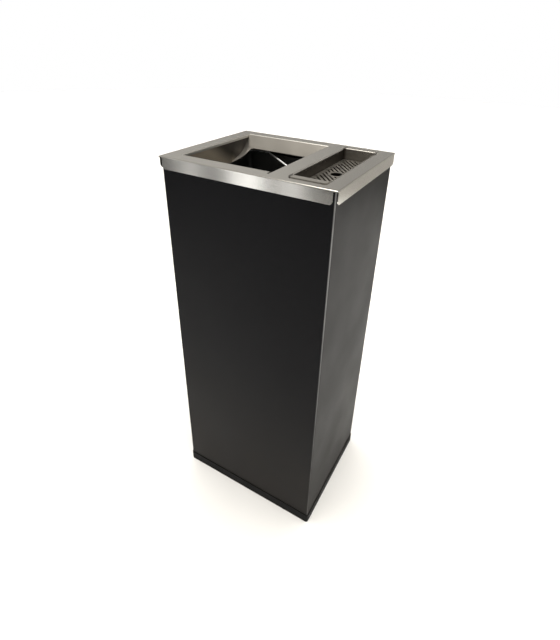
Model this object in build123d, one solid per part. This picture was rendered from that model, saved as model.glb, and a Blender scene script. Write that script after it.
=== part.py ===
from build123d import *
import math
import os

# Street ashtray bin: a folded steel housing on a floor trim, a lift-off stainless lid with a
# waste opening over a chute and an ash opening that holds a pan with a slotted grate, and a
# galvanised waste liner with a wire bail. Millimetres, +Z up, front face towards -Y.
# The origin is the centre of the footprint, on the floor.

# ---- Overall sizes ----
WIDTH = 300.0
DEPTH = 240.0
HEIGHT = 700.0

# ---- Clearances ----
REST_GAP = 0.3          # between a lift-off piece and its seat
RUNNING_GAP = 0.08      # radial, bail wire in its ear
RIVET_GAP = 0.05        # radial, rivet or screw shank in its hole
PAN_GAP = 0.6           # ash pan to the edges of its opening
GRATE_GAP = 0.7         # grate to the pan walls

# ---- Lid ----
LID_SHEET = 1.2
LID_OVERHANG = 3.0      # lid skirt outside the housing wall
SKIRT_HEIGHT = 20.0
LID_BEND = 2.2          # outside radius of the lid folds
SKIRT_END_GAP = 6.5     # front and back skirts stop short of the corner
SIDE_SKIRT_GAP = 2.6    # side skirts stop short of the corner
SKIRT_CORNER = 5.5      # rounded lower corners of the skirts
RIM_LEFT = 26.0
RIM_RIGHT = 24.0
RIM_FRONT = 26.0
RIM_BACK = 25.0
DIVIDER = 30.0
ASH_WIDTH = 58.0
COLLAR_DEPTH = 5.0      # folded edge around the openings
COLLAR_BEND = 2.0
RELIEF_WIDTH = 3.0
RELIEF_LENGTH = 11.0

# ---- Hopper under the waste opening ----
HOPPER_SHEET = 1.0
CHUTE_STEEP = 48.5      # degrees below level, upper facet
CHUTE_SHALLOW = 19.0    # degrees below level, lower facet
CHUTE_BREAK = 24.1      # depth from the back edge to the change of slope
CHUTE_BEND = 40.0
CHUTE_LIP = 17.2        # back edge of the drop hole, ahead of the opening's back edge
CHUTE_ARM = 14.0        # width of the arm along the left plate, at its root
CHUTE_ARM_END = 9.0     # the same, where the arm starts to run out
CHUTE_ARM_REACH = 43.0  # that place, ahead of the opening's back edge
CHUTE_ARM_TIP = 60.0    # tip of the arm, ahead of the opening's back edge
CHUTE_CORNER = 8.0
CHUTE_OVERRUN = 10.0    # facet drawn past the arm's tip, then cut off by the drop hole
CHUTE_TOP_LAP = 0.2     # feather edge left off the underside at the weld
GUARD_DEPTH = 26.0      # right and front plates below the lid
GUARD_END_GAP = 3.0     # right plate to the back edge of the drop hole

# ---- Housing ----
BODY_SHEET = 1.2
BODY_FOLD = 3.0
TOP_RETURN = 8.0        # inner edge of the top ring from the shell's outer face
RING_SHEET = 1.2
RING_LEG = 12.0
RING_FOLD_INSIDE = 0.6
SEAM_GAP = 0.5
SEAM_STRIP_WIDTH = 34.0
SEAM_STRIP_SHEET = 1.2
SEAM_STRIP_LOW = 4.0    # strip above the base flange
SEAM_STRIP_HIGH = 2.0   # strip below the top ring
SEAM_RIVET_ROWS = 8
SEAM_RIVET_SPREAD = 20.0
SEAM_RIVET_LOW = 22.0   # first rivet above the base flange
SEAM_RIVET_HIGH = 28.0  # last rivet below the top of the housing
RIVET_HEAD = 3.6
RIVET_HEAD_HEIGHT = 1.2
RIVET_HEAD_ROUND = 1.08
RIVET_TAIL = 2.9
RIVET_TAIL_HEIGHT = 1.4
RIVET_TAIL_ROUND = 0.7
BASE_SHEET = 1.5
BASE_FLANGE = 17.0
BASE_FOLD_INSIDE = 0.5

# ---- Floor trim ----
TRIM_HEIGHT = 21.0
TRIM_WALL = 1.4
TRIM_WEB = 3.5
TRIM_FOOT = 17.0        # width of the web under the base
TRIM_EDGE = 0.6
SCREW_SHANK = 2.0
SCREW_HEAD = 3.9
SCREW_HEAD_HEIGHT = 1.9
SCREW_LENGTH = 8.0
SCREW_HEAD_ROUND = 0.8
SCREW_RECESS = 0.4      # head below the underside of the trim
SCREW_HEAD_GAP = 0.5
SCREW_END_X = 56.0      # screws of the long sides from the housing's side walls
SCREW_END_Y = 53.0      # screws of the short sides from the front and back walls

# ---- Ash pan and grate ----
PAN_SHEET = 1.0
PAN_DEPTH = 60.0
PAN_LIP = 10.0
PAN_LIP_CORNER = 5.0
PAN_CORNER = 4.0
PAN_FLOOR_BEND = 3.0
PAN_LIP_BEND = 1.4
PAN_SIDE_DROP = 1.0     # side walls of the pan below the lid surface
GRATE_DROP = 17.0       # grate surface below the lid
GRATE_SHEET = 1.5
GRATE_MARGIN = 6.0
FINGER_HOLE = 19.0
SLOT_WIDTH = 2.8
SLOT_PITCH = 10.0       # along the length of the grate
SLOT_ANGLE = -49.0      # degrees from +X, in plan
SLOT_RING = 4.0         # plain ring around the finger hole
SLOT_LEAST = 11.2       # slots shorter than this are left out
LEDGE_FOOT = 6.0
LEDGE_LEG = 9.0
LEDGE_LENGTH = 40.0

# ---- Waste liner and bail ----
LINER_SIDE_GAP = 5.0    # rim to the housing's top ring, left
LINER_END_GAP = 3.0     # rim to the housing's top ring, front and back
LINER_PAN_GAP = 6.5     # liner rim to the ash pan
LINER_DROP = 32.7       # rim below the lid surface
LINER_SHEET = 1.0
LINER_CORNER = 8.0
RIM_BEAD = 2.0
RIM_BEAD_HEIGHT = 4.0
RIM_BEAD_ROUND = 1.4
LINER_FLOOR = 8.0       # recess of the liner floor
SEAM_LAP = 12.0
SEAM_LAP_SINK = 0.2     # lap joined into the wall by this much
SEAM_LAP_FOOT = 3.0     # lap above the bottom edge
WIRE = 3.0
BAIL_PIVOT_DROP = 7.5   # bail pivot below the rim
BAIL_GRIP = 42.0        # length of the grip along the back rim
BAIL_CORNER = 12.0
BAIL_PIN_BEND = 2.2
BAIL_PIN_OUT = 2.2      # pin end outside the ear
BAIL_HEAD = 2.5
BAIL_HEAD_HEIGHT = 1.0
BAIL_LEFT_GAP = 0.9     # left arm to the liner wall
BAIL_RIGHT_GAP = 1.9    # right arm's lower end to the liner wall
EAR_SHEET = 1.2
EAR_WIDTH = 20.0
EAR_HEIGHT = 30.0
EAR_RIM_GAP = 0.2       # ear below the rim bead
EAR_RIVET = 1.8
EAR_RIVET_DROP = 16.0
EAR_RIVET_HEAD = 3.0
EAR_RIVET_HEAD_HEIGHT = 0.9
EAR_RIVET_TAIL = 2.9
EAR_RIVET_TAIL_HEIGHT = 0.8
GUIDE_SHEET = 1.5
GUIDE_FOOT = 16.0
GUIDE_HEIGHT = 20.0
GUIDE_LENGTH = 130.0
GUIDE_GAP = 1.5

# ---- Lid locating tabs ----
TAB_SHEET = 1.5
TAB_WIDTH = 22.0
TAB_FOOT = 5.0
TAB_DROP = 12.0
TAB_GAP = 1.0           # tab to the housing's top ring
TAB_INSET = 34.0        # tab centre from the housing's side walls

# ---- Heights and planes that follow from the sizes above ----
LID_TOP = HEIGHT - PAN_SHEET - REST_GAP
LID_UNDER = LID_TOP - LID_SHEET
COLLAR_LOW = LID_TOP - COLLAR_DEPTH
BODY_TOP = LID_UNDER - REST_GAP
BODY_X = WIDTH / 2 - LID_OVERHANG
BODY_Y = DEPTH / 2 - LID_OVERHANG
WASTE_LEFT = -WIDTH / 2 + RIM_LEFT
OPEN_FRONT = -DEPTH / 2 + RIM_FRONT
OPEN_BACK = DEPTH / 2 - RIM_BACK
ASH_RIGHT = WIDTH / 2 - RIM_RIGHT
ASH_LEFT = ASH_RIGHT - ASH_WIDTH
WASTE_RIGHT = ASH_LEFT - DIVIDER
HOLE_LEFT = WASTE_LEFT - LID_SHEET
HOLE_RIGHT = WASTE_RIGHT + LID_SHEET
HOLE_FRONT = OPEN_FRONT - LID_SHEET
RETURN_X = BODY_X - TOP_RETURN
RETURN_Y = BODY_Y - TOP_RETURN
PAN_LEFT = ASH_LEFT + PAN_GAP
PAN_RIGHT = ASH_RIGHT - PAN_GAP
PAN_FRONT = OPEN_FRONT + PAN_GAP
PAN_BACK = OPEN_BACK - PAN_GAP
GRATE_TOP = LID_TOP - GRATE_DROP
BASE_TOP = TRIM_WEB + BASE_SHEET
LINER_BOTTOM = BASE_TOP + REST_GAP
LINER_TOP = LID_TOP - LINER_DROP
LINER_LEFT = -RETURN_X + LINER_SIDE_GAP + RIM_BEAD
LINER_RIGHT = PAN_LEFT - LINER_PAN_GAP - RIM_BEAD
LINER_Y = RETURN_Y - LINER_END_GAP - RIM_BEAD
PIVOT_Z = LINER_TOP - BAIL_PIVOT_DROP
WIRE_R = WIRE / 2


def block(x0, x1, y0, y1, z0, z1):
    """Axis-aligned box between two corners."""
    centre = Pos((x0 + x1) / 2, (y0 + y1) / 2, (z0 + z1) / 2)
    return centre * Box(x1 - x0, y1 - y0, z1 - z0)


def rounded_block(x0, x1, y0, y1, z0, z1, radius):
    """Box with rounded upright corners."""
    outline = Pos((x0 + x1) / 2, (y0 + y1) / 2, z0) * RectangleRounded(x1 - x0, y1 - y0, radius)
    return extrude(outline, z1 - z0)


def rod(start, direction, radius, length):
    """Round bar from a point along a direction."""
    return extrude(Plane(origin=start, z_dir=direction) * Circle(radius), length)


def save(shape, name):
    export_step(shape, f"parts/{name}.step")


def group(shapes):
    return Compound(children=list(shapes))


# ---- Housing ----

def seam_rivet_points():
    """Rivet centres (x, z) down both sides of the rear seam."""
    low = TRIM_WEB + BASE_FLANGE + SEAM_RIVET_LOW
    high = BODY_TOP - SEAM_RIVET_HIGH
    step = (high - low) / (SEAM_RIVET_ROWS - 1)
    return [(side * SEAM_RIVET_SPREAD / 2, low + row * step)
            for side in (-1, 1) for row in range(SEAM_RIVET_ROWS)]


def body_shell():
    """One steel sheet wrapped round four folds and butted at the back."""
    outer = rounded_block(-BODY_X, BODY_X, -BODY_Y, BODY_Y, TRIM_WEB, BODY_TOP, BODY_FOLD)
    inner_x = BODY_X - BODY_SHEET
    inner_y = BODY_Y - BODY_SHEET
    inner = rounded_block(-inner_x, inner_x, -inner_y, inner_y, TRIM_WEB - 1, BODY_TOP + 1,
                          BODY_FOLD - BODY_SHEET)
    seam = block(-SEAM_GAP / 2, SEAM_GAP / 2, inner_y - 1, BODY_Y + 1, TRIM_WEB - 1, BODY_TOP + 1)
    shell = outer - inner - seam
    for x, z in seam_rivet_points():
        shell -= rod((x, inner_y - 1, z), (0, 1, 0), SCREW_SHANK + RIVET_GAP, BODY_SHEET + 2)
    return shell


def top_ring():
    """Angle frame spot-welded inside the top of the shell; the lid rests on it."""
    x, y, s = BODY_X - BODY_SHEET, BODY_Y - BODY_SHEET, RING_SHEET
    ring = rounded_block(-x, x, -y, y, BODY_TOP - RING_LEG, BODY_TOP, BODY_FOLD - BODY_SHEET)
    x, y = x - s, y - s
    ring -= rounded_block(-x, x, -y, y, BODY_TOP - RING_LEG - 1, BODY_TOP - s, RING_FOLD_INSIDE)
    return ring - block(-RETURN_X, RETURN_X, -RETURN_Y, RETURN_Y, BODY_TOP - 2 * s, BODY_TOP + 1)


def seam_strip():
    """Backing strip that the two edges of the rear seam are riveted to."""
    inner_y = BODY_Y - BODY_SHEET
    strip = block(-SEAM_STRIP_WIDTH / 2, SEAM_STRIP_WIDTH / 2, inner_y - SEAM_STRIP_SHEET, inner_y,
                  TRIM_WEB + BASE_FLANGE + SEAM_STRIP_LOW, BODY_TOP - RING_LEG - SEAM_STRIP_HIGH)
    for x, z in seam_rivet_points():
        strip -= rod((x, inner_y - SEAM_STRIP_SHEET - 1, z), (0, 1, 0),
                     SCREW_SHANK + RIVET_GAP, SEAM_STRIP_SHEET + 2)
    return strip


def blind_rivet(x, z):
    """Domed head outside, upset end inside."""
    outside = BODY_Y
    inside = BODY_Y - BODY_SHEET - SEAM_STRIP_SHEET
    shank = rod((x, inside, z), (0, 1, 0), SCREW_SHANK, outside - inside)
    head = rod((x, outside, z), (0, 1, 0), RIVET_HEAD, RIVET_HEAD_HEIGHT)
    head = fillet(head.edges().sort_by(Axis.Y)[-1], RIVET_HEAD_ROUND)
    tail = rod((x, inside, z), (0, -1, 0), RIVET_TAIL, RIVET_TAIL_HEIGHT)
    tail = fillet(tail.edges().sort_by(Axis.Y)[0], RIVET_TAIL_ROUND)
    return shank + head + tail


def base_screw_points():
    """Screw centres (x, y) round the web of the floor trim."""
    reach_x = BODY_X - TRIM_FOOT / 2
    reach_y = BODY_Y - TRIM_FOOT / 2
    end_x = BODY_X - SCREW_END_X
    end_y = BODY_Y - SCREW_END_Y
    long_side = [(x, y) for y in (-reach_y, reach_y) for x in (-end_x, end_x)]
    short_side = [(x, y) for x in (-reach_x, reach_x) for y in (-end_y, end_y)]
    return long_side + short_side


def base_plate():
    """Floor tray of the housing, its flange spot-welded inside the shell."""
    x, y = BODY_X - BODY_SHEET, BODY_Y - BODY_SHEET
    corner = BODY_FOLD - BODY_SHEET
    tray = rounded_block(-x, x, -y, y, TRIM_WEB, TRIM_WEB + BASE_FLANGE, corner)
    x, y = x - BASE_SHEET, y - BASE_SHEET
    tray -= rounded_block(-x, x, -y, y, BASE_TOP, TRIM_WEB + BASE_FLANGE + 1,
                          BASE_FOLD_INSIDE)
    for sx, sy in base_screw_points():
        tray -= rod((sx, sy, TRIM_WEB - 1), (0, 0, 1), SCREW_SHANK + RIVET_GAP, BASE_SHEET + 2)
    return tray


def base_trim():
    """Moulded floor trim: a web under the base and a low wall round the foot of the shell."""
    x, y = BODY_X + TRIM_WALL, BODY_Y + TRIM_WALL
    trim = rounded_block(-x, x, -y, y, 0, TRIM_HEIGHT, BODY_FOLD + TRIM_WALL)
    trim = fillet(trim.edges().group_by(Axis.Z)[-1], TRIM_EDGE)
    trim = chamfer(trim.edges().group_by(Axis.Z)[0], TRIM_EDGE)
    trim -= rounded_block(-BODY_X, BODY_X, -BODY_Y, BODY_Y, TRIM_WEB, TRIM_HEIGHT + 1, BODY_FOLD)
    x, y = BODY_X - TRIM_FOOT, BODY_Y - TRIM_FOOT
    trim -= rounded_block(-x, x, -y, y, -1, TRIM_WEB + 1, BODY_FOLD)
    for sx, sy in base_screw_points():
        trim -= rod((sx, sy, -1), (0, 0, 1), SCREW_SHANK + RIVET_GAP, TRIM_WEB + 2)
        trim -= rod((sx, sy, -1), (0, 0, 1), SCREW_HEAD + SCREW_HEAD_GAP,
                    SCREW_HEAD_HEIGHT + SCREW_RECESS + 1)
    return trim


def base_screw(x, y):
    """Pan-head screw, up through the trim's web into the base plate."""
    seat = SCREW_HEAD_HEIGHT + SCREW_RECESS
    head = rod((x, y, seat - SCREW_HEAD_HEIGHT), (0, 0, 1), SCREW_HEAD, SCREW_HEAD_HEIGHT)
    head = fillet(head.edges().sort_by(Axis.Z)[0], SCREW_HEAD_ROUND)
    return head + rod((x, y, seat), (0, 0, 1), SCREW_SHANK, SCREW_LENGTH)


def liner_guide():
    """Angle on the base plate that keeps the liner under the waste opening."""
    x = LINER_RIGHT + GUIDE_GAP
    half = GUIDE_LENGTH / 2
    foot = block(x, x + GUIDE_FOOT, -half, half, BASE_TOP, BASE_TOP + GUIDE_SHEET)
    upright = block(x, x + GUIDE_SHEET, -half, half, BASE_TOP, BASE_TOP + GUIDE_HEIGHT)
    return foot + upright


# ---- Lid ----

def lid_frame():
    """Folded stainless lid: skirts with open corners, two openings, a collar at the waste one."""
    x, y, low = WIDTH / 2, DEPTH / 2, LID_TOP - SKIRT_HEIGHT
    lid = block(-x, x, -y, y, low, LID_TOP)
    lid = fillet(lid.edges().group_by(Axis.Z)[-1], LID_BEND)
    ix, iy = x - LID_SHEET, y - LID_SHEET
    hollow = block(-ix, ix, -iy, iy, low - 1, LID_UNDER)
    hollow = fillet(hollow.edges().group_by(Axis.Z)[-1], LID_BEND - LID_SHEET)
    lid -= hollow
    notch_top = LID_TOP - LID_BEND
    for sx in (-1, 1):
        for sy in (-1, 1):
            x0, x1 = sorted((sx * (x - SKIRT_END_GAP), sx * (x + 1)))
            y0, y1 = sorted((sy * (y - SIDE_SKIRT_GAP), sy * (y + 1)))
            lid -= block(x0, x1, y0, y1, low - 1, notch_top)
    across = [e for e in lid.edges().filter_by(Axis.Y)
              if abs(e.center().Z - low) < 0.01 and e.length < 2 * LID_SHEET]
    along = [e for e in lid.edges().filter_by(Axis.X)
             if abs(e.center().Z - low) < 0.01 and e.length < 2 * LID_SHEET]
    lid = fillet(across + along, SKIRT_CORNER)

    low, s = COLLAR_LOW, LID_SHEET
    for x0, x1 in ((WASTE_LEFT, WASTE_RIGHT), (ASH_LEFT, ASH_RIGHT)):
        lid += block(x0 - s, x1 + s, OPEN_FRONT - s, OPEN_BACK + s, low, LID_TOP)
        lid -= block(x0, x1, OPEN_FRONT, OPEN_BACK, low - 1, LID_TOP + 1)
    rims = [e for e in lid.edges() if abs(e.center().Z - LID_TOP) < 0.01
            and WASTE_LEFT - 0.1 < e.center().X < ASH_RIGHT + 0.1
            and OPEN_FRONT - 0.1 < e.center().Y < OPEN_BACK + 0.1]
    lid = fillet(rims, COLLAR_BEND)
    lid -= block(HOLE_LEFT, HOLE_RIGHT, OPEN_BACK, OPEN_BACK + s, low - 1, LID_UNDER)
    relief = WASTE_RIGHT - RELIEF_WIDTH / 2
    return lid - block(relief, relief + RELIEF_WIDTH, OPEN_FRONT - RELIEF_LENGTH,
                       OPEN_FRONT + COLLAR_BEND / 4, low - 1, LID_TOP + 1)


def chute_line(offset):
    """Chute section seen from the side: two facets joined by a bend, offset below the face."""
    steep, shallow = math.radians(CHUTE_STEEP), math.radians(CHUTE_SHALLOW)
    top = (OPEN_BACK, LID_UNDER)
    knee = (OPEN_BACK - CHUTE_BREAK, LID_UNDER - CHUTE_BREAK * math.tan(steep))
    run = CHUTE_ARM_TIP - CHUTE_BREAK + CHUTE_OVERRUN
    end = (knee[0] - run, knee[1] - run * math.tan(shallow))
    half = (steep + shallow) / 2
    low_knee = (knee[0] + offset * math.sin(half) / math.cos((steep - shallow) / 2),
                knee[1] - offset * math.cos(half) / math.cos((steep - shallow) / 2))
    climb = CHUTE_BREAK - CHUTE_TOP_LAP
    low_top = (low_knee[0] + climb, low_knee[1] + climb * math.tan(steep))
    low_end = (low_knee[0] - run, low_knee[1] - run * math.tan(shallow))
    return [top, knee, end], [low_top, low_knee, low_end]


def side_profile(points, x0, x1):
    """Solid from an outline in the YZ plane, between two X positions."""
    outline = Plane.YZ * make_face(Polyline(*points, close=True))
    return Pos(x0, 0, 0) * extrude(outline, x1 - x0)


def hopper_chute():
    """Curved back plate of the hopper with an arm along the left, around the drop hole."""
    upper, lower = chute_line(HOPPER_SHEET)
    left, right = HOLE_LEFT, HOLE_RIGHT
    plate = side_profile(upper + lower[::-1], left, right)
    knees = [e for e in plate.edges().filter_by(Axis.X)
             if abs(e.center().Y - upper[1][0]) < 3 and abs(e.center().Z - upper[1][1]) < 3]
    plate = fillet(knees, CHUTE_BEND)
    back = OPEN_BACK - CHUTE_LIP
    inner = left + CHUTE_ARM
    slim = left + CHUTE_ARM_END
    reach = OPEN_BACK - CHUTE_ARM_REACH
    tip = OPEN_BACK - CHUTE_ARM_TIP
    far = tip - 40
    hole = Polyline((right + 5, back), (inner, back), (slim, reach), (left, tip), (left - 5, tip),
                    (left - 5, far), (right + 5, far), close=True)
    drop = extrude(Pos(0, 0, LID_TOP - 200) * make_face(hole), 250)
    corner = [e for e in drop.edges().filter_by(Axis.Z)
              if abs(e.center().X - inner) < 0.1 and abs(e.center().Y - back) < 0.1]
    drop = fillet(corner, CHUTE_CORNER)
    plate -= block(left - 1, WASTE_LEFT, OPEN_FRONT, OPEN_BACK + 1, COLLAR_LOW, LID_TOP)
    plate -= block(WASTE_RIGHT, right + 1, OPEN_FRONT, OPEN_BACK + 1, COLLAR_LOW, LID_TOP)
    return plate - drop


def hopper_left_plate():
    """Side plate closing the left of the hopper, its lower edge along the chute."""
    lower = chute_line(HOPPER_SHEET)[1]
    front = HOLE_FRONT
    tip = OPEN_BACK - CHUTE_ARM_TIP
    slope = math.tan(math.radians(CHUTE_SHALLOW))
    tip_z = lower[1][1] - (lower[1][0] - tip) * slope
    points = [(front, LID_UNDER), lower[0], lower[1], (tip, tip_z), (front, tip_z)]
    return side_profile(points, HOLE_LEFT - HOPPER_SHEET, HOLE_LEFT)


def hopper_right_plate():
    """Plain guard plate under the divider."""
    back = OPEN_BACK - CHUTE_LIP - GUARD_END_GAP
    return block(HOLE_RIGHT, HOLE_RIGHT + HOPPER_SHEET, HOLE_FRONT, back,
                 LID_UNDER - GUARD_DEPTH, LID_UNDER)


def hopper_front_plate():
    """Plain guard plate under the front rim."""
    return block(HOLE_LEFT, HOLE_RIGHT, HOLE_FRONT - HOPPER_SHEET, HOLE_FRONT,
                 LID_UNDER - GUARD_DEPTH, LID_UNDER)


def lid_tab(x, side):
    """Angle tab that centres the lid inside the housing's top ring."""
    outer = RETURN_Y - TAB_GAP
    y0, y1 = sorted((side * outer, side * (outer - TAB_SHEET)))
    f0, f1 = sorted((side * outer, side * (outer - TAB_FOOT)))
    leg = block(x - TAB_WIDTH / 2, x + TAB_WIDTH / 2, y0, y1, LID_UNDER - TAB_DROP, LID_UNDER)
    foot = block(x - TAB_WIDTH / 2, x + TAB_WIDTH / 2, f0, f1, LID_UNDER - TAB_SHEET, LID_UNDER)
    return leg + foot


# ---- Ash pan and grate ----

def ash_pan():
    """Deep-drawn pan that hangs in the ash opening by a lip at each end."""
    low = LID_TOP - PAN_DEPTH
    top = HEIGHT
    pan = rounded_block(PAN_LEFT, PAN_RIGHT, PAN_FRONT, PAN_BACK, low, top, PAN_CORNER)
    pan = fillet(pan.edges().group_by(Axis.Z)[0], PAN_FLOOR_BEND)
    lip = rounded_block(PAN_LEFT - PAN_GAP, PAN_RIGHT + PAN_GAP, PAN_FRONT - PAN_LIP,
                        PAN_BACK + PAN_LIP, top - PAN_SHEET, top, PAN_LIP_CORNER)
    lip -= block(PAN_LEFT - 5, PAN_LEFT, PAN_FRONT, PAN_BACK, top - 3, top + 1)
    lip -= block(PAN_RIGHT, PAN_RIGHT + 5, PAN_FRONT, PAN_BACK, top - 3, top + 1)
    inside = rounded_block(PAN_LEFT + PAN_SHEET, PAN_RIGHT - PAN_SHEET, PAN_FRONT + PAN_SHEET,
                           PAN_BACK - PAN_SHEET, low + PAN_SHEET, top + 1, PAN_CORNER - PAN_SHEET)
    inside = fillet(inside.edges().group_by(Axis.Z)[0], PAN_FLOOR_BEND - PAN_SHEET)
    side_cut = block(PAN_LEFT - 5, PAN_RIGHT + 5, PAN_FRONT + PAN_CORNER, PAN_BACK - PAN_CORNER,
                     LID_TOP - PAN_SIDE_DROP, top + 1)
    pan = pan + lip - inside
    bends = [e for e in pan.edges() if abs(e.center().Z - top) < 0.01
             and PAN_LEFT + 0.5 < e.center().X < PAN_RIGHT - 0.5
             and PAN_FRONT < e.center().Y < PAN_BACK]
    return fillet(bends, PAN_LIP_BEND) - side_cut


def grate_ledge(side):
    """Angle spot-welded across the end of the pan; the grate rests on it."""
    wall = PAN_BACK - PAN_SHEET if side > 0 else PAN_FRONT + PAN_SHEET
    middle = (PAN_LEFT + PAN_RIGHT) / 2
    x0, x1 = middle - LEDGE_LENGTH / 2, middle + LEDGE_LENGTH / 2
    top = GRATE_TOP - GRATE_SHEET - REST_GAP
    y0, y1 = sorted((wall, wall - side * PAN_SHEET))
    f0, f1 = sorted((wall, wall - side * LEDGE_FOOT))
    leg = block(x0, x1, y0, y1, top - LEDGE_LEG, top)
    return leg + block(x0, x1, f0, f1, top - PAN_SHEET, top)


def ash_grate():
    """Flat plate with slanting slots and a finger hole to lift it by."""
    gap = PAN_SHEET + GRATE_GAP
    x0, x1 = PAN_LEFT + gap, PAN_RIGHT - gap
    y0, y1 = PAN_FRONT + gap, PAN_BACK - gap
    middle_x, middle_y = (x0 + x1) / 2, (y0 + y1) / 2
    low = GRATE_TOP - GRATE_SHEET
    plate = rounded_block(x0, x1, y0, y1, low, GRATE_TOP, PAN_CORNER - PAN_SHEET)
    field = Pos(middle_x, middle_y) * Rectangle(x1 - x0 - 2 * GRATE_MARGIN,
                                                y1 - y0 - 2 * GRATE_MARGIN)
    field -= Pos(middle_x, middle_y) * Circle(FINGER_HOLE / 2 + SLOT_RING)
    reach = math.tan(math.radians(abs(SLOT_ANGLE))) * (x1 - x0) / 2
    count = int(((y1 - y0) / 2 + reach) / SLOT_PITCH)
    for i in range(-count, count + 1):
        bar = Pos(middle_x, middle_y + i * SLOT_PITCH) * Rot(0, 0, SLOT_ANGLE) \
            * Rectangle(y1 - y0, SLOT_WIDTH)
        for slot in (bar & field).faces():
            if slot.area > SLOT_LEAST * SLOT_WIDTH:
                plate -= extrude(Pos(0, 0, low - 1) * slot, GRATE_SHEET + 2)
    return plate - rod((middle_x, middle_y, low - 1), (0, 0, 1), FINGER_HOLE / 2, GRATE_SHEET + 2)


# ---- Waste liner ----

def ear_sides():
    """The two walls that carry the bail: (outer face of the wall, direction outwards)."""
    return [(LINER_LEFT, -1), (LINER_RIGHT, 1)]


def liner_body():
    """Galvanised sheet walls with a rolled rim and a lapped seam at the back."""
    x0, x1, y = LINER_LEFT, LINER_RIGHT, LINER_Y
    walls = rounded_block(x0, x1, -y, y, LINER_BOTTOM, LINER_TOP, LINER_CORNER)
    bead = rounded_block(x0 - RIM_BEAD, x1 + RIM_BEAD, -y - RIM_BEAD, y + RIM_BEAD,
                         LINER_TOP - RIM_BEAD_HEIGHT, LINER_TOP, LINER_CORNER + RIM_BEAD)
    rounds = bead.edges().group_by(Axis.Z)[-1] + bead.edges().group_by(Axis.Z)[0]
    bead = fillet(rounds, RIM_BEAD_ROUND)
    middle = (x0 + x1) / 2
    lap = block(middle - SEAM_LAP / 2, middle + SEAM_LAP / 2, y - SEAM_LAP_SINK, y + LINER_SHEET,
                LINER_BOTTOM + SEAM_LAP_FOOT, LINER_TOP - RIM_BEAD_HEIGHT)
    s = LINER_SHEET
    inside = rounded_block(x0 + s, x1 - s, -y + s, y - s, LINER_BOTTOM - 1, LINER_TOP + 1,
                           LINER_CORNER - s)
    liner = walls + bead + lap - inside
    for wall, _ in ear_sides():
        liner -= rod((wall - 5, 0, PIVOT_Z), (1, 0, 0), WIRE_R + RUNNING_GAP, 10)
        for y_rivet in (-EAR_WIDTH / 4, EAR_WIDTH / 4):
            liner -= rod((wall - 5, y_rivet, PIVOT_Z - EAR_RIVET_DROP), (1, 0, 0),
                         EAR_RIVET + RIVET_GAP, 10)
    return liner


def liner_base():
    """Floor of the liner, turned down and clinched inside the walls."""
    s = LINER_SHEET
    x0, x1, y = LINER_LEFT + s, LINER_RIGHT - s, LINER_Y - s
    pan = rounded_block(x0, x1, -y, y, LINER_BOTTOM, LINER_BOTTOM + LINER_FLOOR + s, LINER_CORNER - s)
    return pan - rounded_block(x0 + s, x1 - s, -y + s, y - s, LINER_BOTTOM - 1,
                               LINER_BOTTOM + LINER_FLOOR, LINER_CORNER - 2 * s)


def handle_ear(wall, out):
    """Plate riveted outside the liner wall, reinforcing the bail's hole."""
    top = LINER_TOP - RIM_BEAD_HEIGHT - EAR_RIM_GAP
    x0, x1 = sorted((wall, wall + out * EAR_SHEET))
    ear = block(x0, x1, -EAR_WIDTH / 2, EAR_WIDTH / 2, top - EAR_HEIGHT, top)
    lower = [e for e in ear.edges().filter_by(Axis.X) if e.center().Z < top - 1]
    ear = fillet(lower, EAR_WIDTH / 4)
    ear -= rod((wall - 5, 0, PIVOT_Z), (1, 0, 0), WIRE_R + RUNNING_GAP, 10)
    for y in (-EAR_WIDTH / 4, EAR_WIDTH / 4):
        ear -= rod((wall - 5, y, PIVOT_Z - EAR_RIVET_DROP), (1, 0, 0), EAR_RIVET + RIVET_GAP, 10)
    return ear


def ear_rivet(wall, out, y):
    """Flat-headed rivet through the ear and the liner wall."""
    z = PIVOT_Z - EAR_RIVET_DROP
    inner = wall - out * LINER_SHEET
    outer = wall + out * EAR_SHEET
    shank = rod((inner, y, z), (out, 0, 0), EAR_RIVET, LINER_SHEET + EAR_SHEET)
    tail = rod((inner, y, z), (-out, 0, 0), EAR_RIVET_TAIL, EAR_RIVET_TAIL_HEIGHT)
    head = rod((outer, y, z), (out, 0, 0), EAR_RIVET_HEAD, EAR_RIVET_HEAD_HEIGHT)
    return shank + tail + head


def bail_handle():
    """Wire bail lying back on the rim; its ends pass out through the ears."""
    rest_z = LINER_TOP + WIRE_R + REST_GAP
    back = LINER_Y
    inset = LINER_SHEET + WIRE_R
    left = LINER_LEFT + inset + BAIL_LEFT_GAP
    right = LINER_RIGHT - inset - BAIL_RIGHT_GAP
    pin_left = LINER_LEFT - EAR_SHEET - BAIL_PIN_OUT
    pin_right = LINER_RIGHT + EAR_SHEET + BAIL_PIN_OUT
    route = FilletPolyline((pin_left, 0, PIVOT_Z), (left, 0, PIVOT_Z), (left, back, rest_z),
                           (left + BAIL_GRIP, back, rest_z), (right, 0, PIVOT_Z),
                           (pin_right, 0, PIVOT_Z),
                           radius=[BAIL_PIN_BEND, BAIL_CORNER, BAIL_CORNER, BAIL_PIN_BEND])
    start = Plane(origin=route @ 0, z_dir=route % 0)
    wire = sweep(start * Circle(WIRE_R), path=route)
    for pin_end, out in ((pin_left, -1), (pin_right, 1)):
        start = (pin_end - out * BAIL_HEAD_HEIGHT, 0, PIVOT_Z)
        wire += rod(start, (out, 0, 0), BAIL_HEAD, BAIL_HEAD_HEIGHT)
    return wire


os.makedirs("parts", exist_ok=True)

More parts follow.
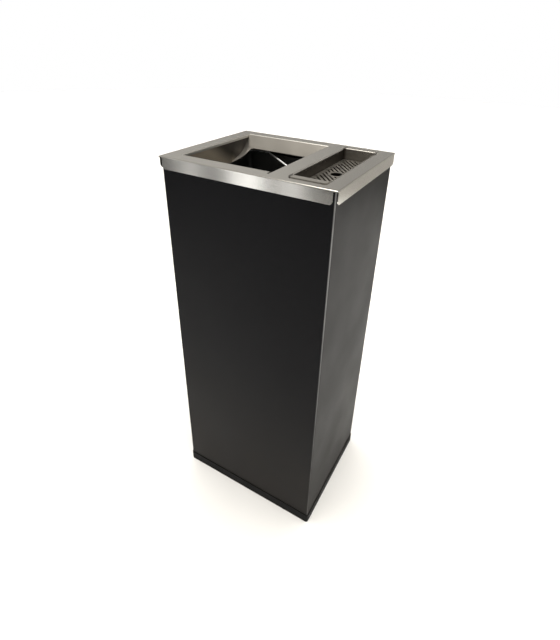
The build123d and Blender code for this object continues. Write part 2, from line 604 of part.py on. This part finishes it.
save(body_shell(), "body_shell")
save(top_ring(), "top_ring")
save(seam_strip(), "seam_strip")
save(group(blind_rivet(x, z) for x, z in seam_rivet_points()), "seam_rivets")
save(base_plate(), "base_plate")
save(base_trim(), "base_trim")
save(group(base_screw(x, y) for x, y in base_screw_points()), "base_screws")
save(liner_guide(), "liner_guide")

save(lid_frame(), "lid_frame")
save(hopper_chute(), "hopper_chute")
save(hopper_left_plate(), "hopper_left_plate")
save(hopper_right_plate(), "hopper_right_plate")
save(hopper_front_plate(), "hopper_front_plate")
tab_x = BODY_X - TAB_INSET
save(group(lid_tab(x, side) for x in (-tab_x, tab_x) for side in (-1, 1)), "lid_tabs")

save(ash_pan(), "ash_pan")
save(group(grate_ledge(side) for side in (-1, 1)), "grate_ledges")
save(ash_grate(), "ash_grate")

save(liner_body(), "liner_body")
save(liner_base(), "liner_base")
save(group(handle_ear(wall, out) for wall, out in ear_sides()), "handle_ears")
save(group(ear_rivet(wall, out, y) for wall, out in ear_sides()
           for y in (-EAR_WIDTH / 4, EAR_WIDTH / 4)), "ear_rivets")
save(bail_handle(), "bail_handle")
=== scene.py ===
import bmesh
import bpy
import math
from mathutils import Matrix, Vector

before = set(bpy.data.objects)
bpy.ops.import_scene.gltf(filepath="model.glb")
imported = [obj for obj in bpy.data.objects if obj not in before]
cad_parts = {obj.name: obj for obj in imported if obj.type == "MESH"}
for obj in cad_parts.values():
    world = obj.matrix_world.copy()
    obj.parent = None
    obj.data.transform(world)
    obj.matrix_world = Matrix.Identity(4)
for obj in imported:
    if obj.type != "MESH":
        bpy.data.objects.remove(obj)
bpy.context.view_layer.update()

# ---- Housing ----
# One steel sheet folded round four corners and riveted to a strip inside the back, with black
# satin powder coat outside and in. The coat has a fine orange peel. A lighter grey line along
# the folds is a painted highlight, and the coat is painted lighter and warmer low down as a
# painted reflection of the floor.


class Socket:
    """An output in a finish, so that shader maths can be written as arithmetic."""

    def __init__(self, finish, output):
        self.finish, self.output = finish, output

    def maths(self, operation, first, second=0.0):
        return self.finish.node("Math", {"operation": operation}, {0: first, 1: second})

    def __add__(self, other):
        return self.maths("ADD", self, other)

    def __radd__(self, other):
        return self.maths("ADD", other, self)

    def __sub__(self, other):
        return self.maths("SUBTRACT", self, other)

    def __rsub__(self, other):
        return self.maths("SUBTRACT", other, self)

    def __mul__(self, other):
        return self.maths("MULTIPLY", self, other)

    def __rmul__(self, other):
        return self.maths("MULTIPLY", other, self)

    def __abs__(self):
        return self.maths("ABSOLUTE", self)


class Finish:
    """A material or the world; node() adds one node to it and returns one of its outputs."""

    def __init__(self, owner):
        self.owner = owner
        owner.use_nodes = True
        self.tree = owner.node_tree
        shaders = ("BSDF_PRINCIPLED", "BACKGROUND")
        self.shader = next(n for n in self.tree.nodes if n.type in shaders)

    def join(self, made, inputs):
        for key, value in inputs.items():
            if isinstance(value, Socket):
                self.tree.links.new(value.output, made.inputs[key])
            else:
                made.inputs[key].default_value = value

    def node(self, kind, settings, inputs, output=0):
        made = self.tree.nodes.new("ShaderNode" + kind)
        for name, value in settings.items():
            setattr(made, name, value)
        self.join(made, inputs)
        return Socket(self, made.outputs[output])

    def place(self, scale=(1, 1, 1), turn=(0, 0, 0), move=(0, 0, 0)):
        point = self.node("TexCoord", {}, {}, "Object")
        return self.node("Mapping", {}, {"Vector": point, "Scale": scale, "Rotation": turn,
                                         "Location": move})

    def axis(self, letter):
        point = self.node("TexCoord", {}, {}, "Object")
        return self.node("SeparateXYZ", {}, {0: point}, letter)

    def noise(self, scale, detail=2.0, stretch=(1, 1, 1), rough=0.5):
        return self.node("TexNoise", {}, {"Vector": self.place(stretch), "Scale": scale,
                                          "Detail": detail, "Roughness": rough})

    def fade(self, value, start, end, low=0.0, high=1.0):
        return self.node("MapRange", {"interpolation_type": "SMOOTHSTEP"},
                         {"Value": value, "From Min": start, "From Max": end, "To Min": low,
                          "To Max": high})

    def blend(self, factor, first, second):
        return self.node("Mix", {"data_type": "RGBA"}, {0: factor, 6: first, 7: second}, 2)

    def relief(self, height, distance, under=None):
        inputs = {"Height": height, "Distance": distance, "Strength": 1.0}
        if under:
            inputs["Normal"] = under
        return self.node("Bump", {}, inputs)

    def coat(self, **sockets):
        self.join(self.shader, {name.replace("_", " "): value for name, value in sockets.items()})


def dress(finish, *names):
    for name in names:
        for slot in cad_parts[name].material_slots:
            slot.material = finish.owner


SHELL_X, SHELL_Y = 0.147, 0.117
FOLD_OUTER, FOLD_INNER = 0.0006, 0.0026
REFLECTION_TOP, REFLECTION_FULL = 0.40, 0.02
powder = Finish(bpy.data.materials.new("black_powder_coat"))
peel = powder.noise(420, 1.0)
grit = powder.noise(1500, 2.0)
drift = powder.noise(7, 3.0)
x, y, z = powder.axis("X"), powder.axis("Y"), powder.axis("Z")
fold = powder.fade(abs(x), SHELL_X - FOLD_INNER, SHELL_X - FOLD_OUTER)
fold = fold * powder.fade(abs(y), SHELL_Y - FOLD_INNER, SHELL_Y - FOLD_OUTER)
# Painted highlight: a lighter grey line along the vertical folds, fainter lower down.
fold_highlight = fold * powder.fade(z, 0.05, 0.68, 0.25, 1.0)
fold_highlight = fold_highlight * powder.fade(powder.noise(30, 3.0), 0.2, 0.6, 0.7, 1.0)
# Painted reflection of the floor: the coat is lighter and warmer towards the bottom.
floor_reflection = powder.fade(z, REFLECTION_TOP, REFLECTION_FULL) * powder.fade(drift, 0.2, 0.75, 0.5, 1.0)
black = powder.blend(drift, (0.0030, 0.0032, 0.0046, 1), (0.0042, 0.0043, 0.0054, 1))
black = powder.blend(floor_reflection * 0.55, black, (0.026, 0.0225, 0.019, 1))
black = powder.blend(fold_highlight, black, (0.30, 0.30, 0.30, 1))
surface = powder.relief(powder.noise(5, 1.0), 0.0005)
surface = powder.relief(peel, 0.00003, surface)
surface = powder.relief(grit, 0.000012, surface)
powder.coat(Base_Color=black, Roughness=powder.fade(drift, 0.2, 0.8, 0.36, 0.46) + floor_reflection * 0.06,
            Specular_IOR_Level=0.08, Normal=surface)
dress(powder, "body_shell", "top_ring", "seam_rivets")

# ---- Floor trim ----
# A black moulding that wraps the foot of the housing, held by screws from below. Matt grained
# plastic, scuffed grey where it meets the floor.

SCUFF_TOP = 0.006
trim = Finish(bpy.data.materials.new("black_trim"))
grain = trim.noise(1100, 2.0)
cloud = trim.noise(14, 3.0)
scuff = trim.fade(trim.axis("Z"), SCUFF_TOP, 0.0005) * trim.fade(trim.noise(90, 4.0), 0.45, 0.7)
colour = trim.blend(cloud, (0.0050, 0.0050, 0.0052, 1), (0.0085, 0.0083, 0.0081, 1))
trim.coat(Base_Color=trim.blend(scuff * 0.6, colour, (0.06, 0.056, 0.052, 1)),
          Roughness=trim.fade(cloud, 0.2, 0.8, 0.46, 0.60), Specular_IOR_Level=0.06,
          Normal=trim.relief(grain, 0.00004))
dress(trim, "base_trim")

# ---- Base plate, seam strip and liner guide ----
# Galvanised sheet parts inside the housing. The zinc has dull grey spangles and a little white
# bloom in random patches.

SPANGLES = 75.0


def spangle(finish):
    """One random grey for each crystal of the zinc."""
    cells = finish.node("TexVoronoi", {}, {"Vector": finish.place(), "Scale": SPANGLES,
                                           "Randomness": 1.0}, "Color")
    return finish.node("SeparateColor", {}, {0: cells}, "Red")


zinc = Finish(bpy.data.materials.new("galvanised"))
tone = spangle(zinc)
bloom = zinc.fade(zinc.noise(22, 4.0), 0.55, 0.75)
colour = zinc.blend(tone, (0.26, 0.275, 0.29, 1), (0.38, 0.395, 0.41, 1))
zinc.coat(Base_Color=zinc.blend(bloom * 0.3, colour, (0.52, 0.53, 0.53, 1)), Metallic=1.0,
          Roughness=zinc.fade(tone, 0.0, 1.0, 0.34, 0.50) + bloom * 0.12,
          Normal=zinc.relief(zinc.noise(500, 2.0), 0.00003))
dress(zinc, "base_plate", "seam_strip", "liner_guide")

# ---- Liner ----
# An inner bin folded and clinched from the same galvanised sheet. Its zinc is a darker, duller
# copy of the galvanised finish, as painted shade for the dark inside of the bin, with blotchy
# brown stains.

shaded_zinc = Finish(bpy.data.materials.new("galvanised_painted_shade"))
tone = spangle(shaded_zinc)
stain = shaded_zinc.fade(shaded_zinc.noise(9, 4.0, (1, 1, 0.35)), 0.40, 0.70)
# Painted shade: these zinc tones are darker than on the other galvanised parts.
colour = shaded_zinc.blend(tone, (0.135, 0.142, 0.148, 1), (0.20, 0.208, 0.215, 1))
shaded_zinc.coat(Base_Color=shaded_zinc.blend(stain * 0.5, colour, (0.075, 0.066, 0.054, 1)), Metallic=1.0,
          Roughness=shaded_zinc.fade(tone, 0.0, 1.0, 0.42, 0.55) + stain * 0.10,
          Normal=shaded_zinc.relief(shaded_zinc.noise(500, 2.0), 0.00003))
dress(shaded_zinc, "liner_body", "liner_base", "handle_ears")

# ---- Screws and rivets ----
# Zinc-plated screws hold the trim, and plain rivets hold the liner's ears.

plated = Finish(bpy.data.materials.new("zinc_fastener"))
patch = plated.noise(160, 3.0)
plated.coat(Base_Color=plated.blend(patch, (0.50, 0.50, 0.47, 1), (0.64, 0.63, 0.60, 1)),
            Metallic=1.0, Roughness=plated.fade(patch, 0.2, 0.8, 0.26, 0.42),
            Normal=plated.relief(plated.noise(900, 2.0), 0.00002))
dress(plated, "base_screws", "ear_rivets")

# ---- Lid ----
# Stainless sheet with a straight brushed grain along its length, folded down into skirts, so the
# grain runs upright on the end skirts. The small collars folded round the openings are dull.

LID_TOP = 0.6987
COLLAR_X, COLLAR_Y = 0.133, 0.098
COLLAR_BLEND = 0.003
steel = Finish(bpy.data.materials.new("stainless_lid"))
normal = steel.node("TexCoord", {}, {}, "Normal")
end_face = steel.fade(abs(steel.node("SeparateXYZ", {}, {0: normal}, "X")), 0.5, 0.8)


def brushed(across, along, detail):
    """Grain along the sheet, turned upright where the sheet is folded down at its ends."""
    flat = steel.noise(1.0, detail, (along, across, across))
    upright = steel.noise(1.0, detail, (across, across, along))
    return flat + (upright - flat) * end_face


hair = brushed(2600, 9, 3.0)
streak = brushed(1400, 3, 2.0)
smear = steel.noise(18, 3.0)
x, y, z = steel.axis("X"), steel.axis("Y"), steel.axis("Z")
collar = steel.fade(abs(x), COLLAR_X + COLLAR_BLEND, COLLAR_X)
collar = collar * steel.fade(abs(y), COLLAR_Y + COLLAR_BLEND, COLLAR_Y)
collar = collar * steel.fade(z, LID_TOP, LID_TOP - 0.0009)
colour = steel.blend(streak, (0.585, 0.57, 0.535, 1), (0.625, 0.61, 0.575, 1))
steel.coat(Base_Color=colour, Metallic=1.0,
           Roughness=steel.fade(streak, 0.25, 0.75, 0.145, 0.185)
           + steel.fade(smear, 0.5, 0.8, 0.0, 0.04) + collar * 0.32,
           Normal=steel.relief(hair, 0.000004))
dress(steel, "lid_frame")

# ---- Hopper ----
# A curved chute and three plain guards of mill-finish stainless welded under the waste opening.
# The chute has faint rolling lines down its slope and is darker from just above the drop hole's
# top edge downwards. These parts are painted darker towards the right of the mouth as painted
# shade. The left plate has its own finish, painted dark towards its top and back as painted shade.

DROP_HOLE_TOP, ARM_END = 0.674, 0.658
mill = Finish(bpy.data.materials.new("stainless_inner"))
x, z = mill.axis("X"), mill.axis("Z")
lines = mill.noise(1.0, 3.0, (2200, 26, 26))
cloud = mill.noise(26, 4.0)
deeper_dark = mill.fade(z, DROP_HOLE_TOP + 0.002, ARM_END - 0.008)
colour = mill.blend(cloud, (0.325, 0.308, 0.280, 1), (0.36, 0.343, 0.315, 1))
colour = mill.blend(deeper_dark * 0.1, colour, (0.14, 0.115, 0.085, 1))
# Painted shade: darker towards the right of the mouth.
colour = mill.blend(mill.fade(x, -0.10, 0.02) * 0.42, colour, (0.17, 0.16, 0.145, 1))
mill.coat(Base_Color=colour, Metallic=mill.fade(z, ARM_END, DROP_HOLE_TOP, 0.5, 1.0),
          Roughness=mill.fade(cloud, 0.2, 0.8, 0.28, 0.33), Normal=mill.relief(lines, 0.000012))
dress(mill, "hopper_chute", "hopper_right_plate", "hopper_front_plate", "lid_tabs",
      "grate_ledges")

SHADE_SLOPE, SHADE_START, SHADE_FULL = 1.6, 1.070, 1.120
shaded_plate = Finish(bpy.data.materials.new("stainless_painted_shade"))
cloud = shaded_plate.noise(20, 4.0)
# Painted shade: the plate darkens towards its top and back.
rear_shade = shaded_plate.fade(shaded_plate.axis("Y") + SHADE_SLOPE * shaded_plate.axis("Z"), SHADE_START, SHADE_FULL)
rear_shade = rear_shade * shaded_plate.fade(cloud, 0.1, 0.6, 0.85, 1.0)
shaded_plate.coat(Base_Color=shaded_plate.blend(rear_shade, (0.62, 0.54, 0.43, 1), (0.045, 0.041, 0.036, 1)),
             Metallic=0.7, Roughness=shaded_plate.fade(cloud, 0.25, 0.75, 0.34, 0.46),
             Normal=shaded_plate.relief(shaded_plate.noise(1.0, 3.0, (26, 26, 2200)), 0.000012))
dress(shaded_plate, "hopper_left_plate")

# ---- Ash pan and grate ----
# A deep-drawn stainless pan that hangs in the ash opening, darker from just below its rim down
# towards its floor and painted dark along its left wall as painted shade, and a slotted grate
# above it that is smudged in random patches.

PAN_FLOOR, PAN_RIM, PAN_WALL = 0.6387, 0.700, 0.0715
pan = Finish(bpy.data.materials.new("stainless_pan"))
lines = pan.noise(1.0, 3.0, (2600, 18, 18))
cloud = pan.noise(40, 4.0)
below_rim_dark = pan.fade(pan.axis("Z"), PAN_RIM - 0.002, PAN_FLOOR + 0.036)
below_rim_dark = below_rim_dark * pan.fade(cloud, 0.2, 0.6, 0.7, 1.0)
# Painted shade: the left wall, under the divider's edge, is painted nearly black.
wall_shade = pan.fade(pan.axis("X"), PAN_WALL + 0.002, PAN_WALL)
colour = pan.blend(pan.noise(12, 2.0), (0.46, 0.44, 0.405, 1), (0.54, 0.52, 0.485, 1))
colour = pan.blend(wall_shade * 0.95, colour, (0.070, 0.060, 0.050, 1))
pan.coat(Base_Color=pan.blend(below_rim_dark * 0.85, colour, (0.060, 0.052, 0.044, 1)), Metallic=1.0,
         Roughness=pan.fade(cloud, 0.2, 0.8, 0.24, 0.34) + below_rim_dark * 0.25,
         Normal=pan.relief(lines, 0.000014))
dress(pan, "ash_pan")

sieve = Finish(bpy.data.materials.new("stainless_grate"))
lines = sieve.noise(1.0, 3.0, (2600, 18, 18))
smudge = sieve.fade(sieve.noise(75, 4.0), 0.38, 0.68)
colour = sieve.blend(smudge * 0.65, (0.51, 0.485, 0.445, 1), (0.17, 0.152, 0.13, 1))
sieve.coat(Base_Color=colour, Metallic=1.0, Roughness=0.27 + smudge * 0.2,
           Normal=sieve.relief(lines, 0.000016))
dress(sieve, "ash_grate")

# ---- Bail ----
# Drawn wire, bent by hand, lying back on the liner's rim. Its near-white, mostly non-metallic
# colour is a painted sheen, so it reads bright along its whole length.

wire = Finish(bpy.data.materials.new("bright_wire"))
drawn = wire.noise(240, 3.0)
# Painted sheen: near-white colour and low Metallic make the wire read bright all along.
wire.coat(Base_Color=wire.blend(drawn, (0.80, 0.81, 0.82, 1), (0.90, 0.91, 0.92, 1)), Metallic=0.2,
          Roughness=wire.fade(drawn, 0.2, 0.8, 0.30, 0.42), Normal=wire.relief(drawn, 0.00003))
dress(wire, "bail_handle")

# ---- Studio ----
# A wide pale floor under a soft overhead sky, three upright strip lamps at the front left, a grey
# surround for the metal to reflect, and the camera.

FLOOR_RADIUS, CIRCLE_SIDES = 7.0, 96
SURROUND_RADIUS, SURROUND_HEIGHT, SURROUND_LIFT = 1.6, 1.0, 0.10
STRIP_HEIGHT, STRIP_LENGTH = 0.55, 0.9


def stand(piece, name, finish):
    """Turn a bmesh into an object in the scene."""
    mesh = bpy.data.meshes.new(name)
    piece.to_mesh(mesh)
    piece.free()
    mesh.materials.append(finish.owner)
    made = bpy.data.objects.new(name, mesh)
    bpy.context.scene.collection.objects.link(made)
    return made


paper = Finish(bpy.data.materials.new("pale_floor"))
tint = paper.noise(3, 3.0)
paper.coat(Base_Color=paper.blend(tint, (0.84, 0.84, 0.84, 1), (0.88, 0.88, 0.875, 1)),
           Roughness=paper.fade(tint, 0.2, 0.8, 0.75, 0.9))
ground = bmesh.new()
bmesh.ops.create_circle(ground, cap_ends=True, segments=CIRCLE_SIDES, radius=FLOOR_RADIUS)
floor = stand(ground, "floor", paper)

sky = Finish(bpy.data.worlds.new("studio"))
bpy.context.scene.world = sky.owner
direction = sky.node("TexCoord", {}, {}, "Generated")
up = sky.node("SeparateXYZ", {}, {0: direction}, "Z")
across = sky.node("SeparateXYZ", {}, {0: direction}, "X")
climb = sky.fade(up, 0.08, 0.22)
tone = sky.blend(climb, (1, 1, 1, 1), (1.0, 0.965, 0.90, 1))
veil = 1.0 + climb * (sky.fade(across, -0.55, -0.28, 0.56, 0.39) - 1.0)
sky.coat(Color=tone, Strength=veil + sky.fade(up, 0.86, 0.94, 0.0, 6.8))

card = Finish(bpy.data.materials.new("grey_card"))
behind = card.fade(0.75 * card.axis("X") + 0.66 * card.axis("Y"), -0.6, 1.2)
card.coat(Base_Color=card.blend(behind, (0.07, 0.07, 0.07, 1), (0.43, 0.42, 0.405, 1)),
          Roughness=card.fade(card.noise(4, 2.0), 0.2, 0.8, 0.85, 0.95))
rail = bmesh.new()
foot = bmesh.ops.create_circle(rail, segments=CIRCLE_SIDES, radius=SURROUND_RADIUS)["verts"]
head = bmesh.ops.extrude_edge_only(rail, edges=rail.edges)["geom"]
bmesh.ops.translate(rail, vec=(0, 0, SURROUND_LIFT),
                    verts=[v for v in foot if v.co.x + v.co.y > 0.3])
bmesh.ops.translate(rail, vec=(0, 0, SURROUND_HEIGHT),
                    verts=[v for v in head if isinstance(v, bmesh.types.BMVert)])
surround = stand(rail, "surround", card)
surround.visible_camera = surround.visible_diffuse = surround.visible_shadow = False

for name, x, y, width, energy in (("key", -0.775, -1.28, 0.145, 0.88),
                                  ("side_strip", -0.53, -1.28, 0.11, 0.37),
                                  ("far_strip", -0.875, -1.0, 0.085, 0.24)):
    lamp = bpy.data.lights.new(name, "AREA")
    lamp.shape, lamp.size, lamp.size_y, lamp.energy = "RECTANGLE", width, STRIP_LENGTH, energy
    strip = bpy.data.objects.new(name, lamp)
    strip.location = (x, y, STRIP_HEIGHT)
    strip.rotation_mode = "QUATERNION"
    inward = Vector((0, 0, STRIP_HEIGHT)) - strip.location
    strip.rotation_quaternion = inward.to_track_quat("-Z", "Y")
    strip.visible_camera = False
    bpy.context.scene.collection.objects.link(strip)

CAMERA_PLACE = (0.3383, -0.5974, 0.8700)
AZIMUTH, ELEVATION, ROLL = math.radians(28.936), math.radians(28.518), math.radians(1.786)
back = Vector((math.sin(AZIMUTH) * math.cos(ELEVATION), -math.cos(AZIMUTH) * math.cos(ELEVATION),
               math.sin(ELEVATION)))
right = Vector((math.cos(AZIMUTH), math.sin(AZIMUTH), 0))
above = back.cross(right)
turned_right = right * math.cos(ROLL) + above * math.sin(ROLL)
turned_above = above * math.cos(ROLL) - right * math.sin(ROLL)
lens = bpy.data.cameras.new("camera")
lens.lens, lens.sensor_width = 24.043, 36
lens.shift_x, lens.shift_y = -0.00398, -0.0866
lens.clip_start = 0.01
camera = bpy.data.objects.new("camera", lens)
camera.matrix_world = Matrix.Translation(CAMERA_PLACE) @ Matrix(
    (turned_right, turned_above, back)).transposed().to_4x4()
bpy.context.scene.collection.objects.link(camera)
bpy.context.scene.camera = camera
bpy.context.scene.view_settings.view_transform = "Standard"
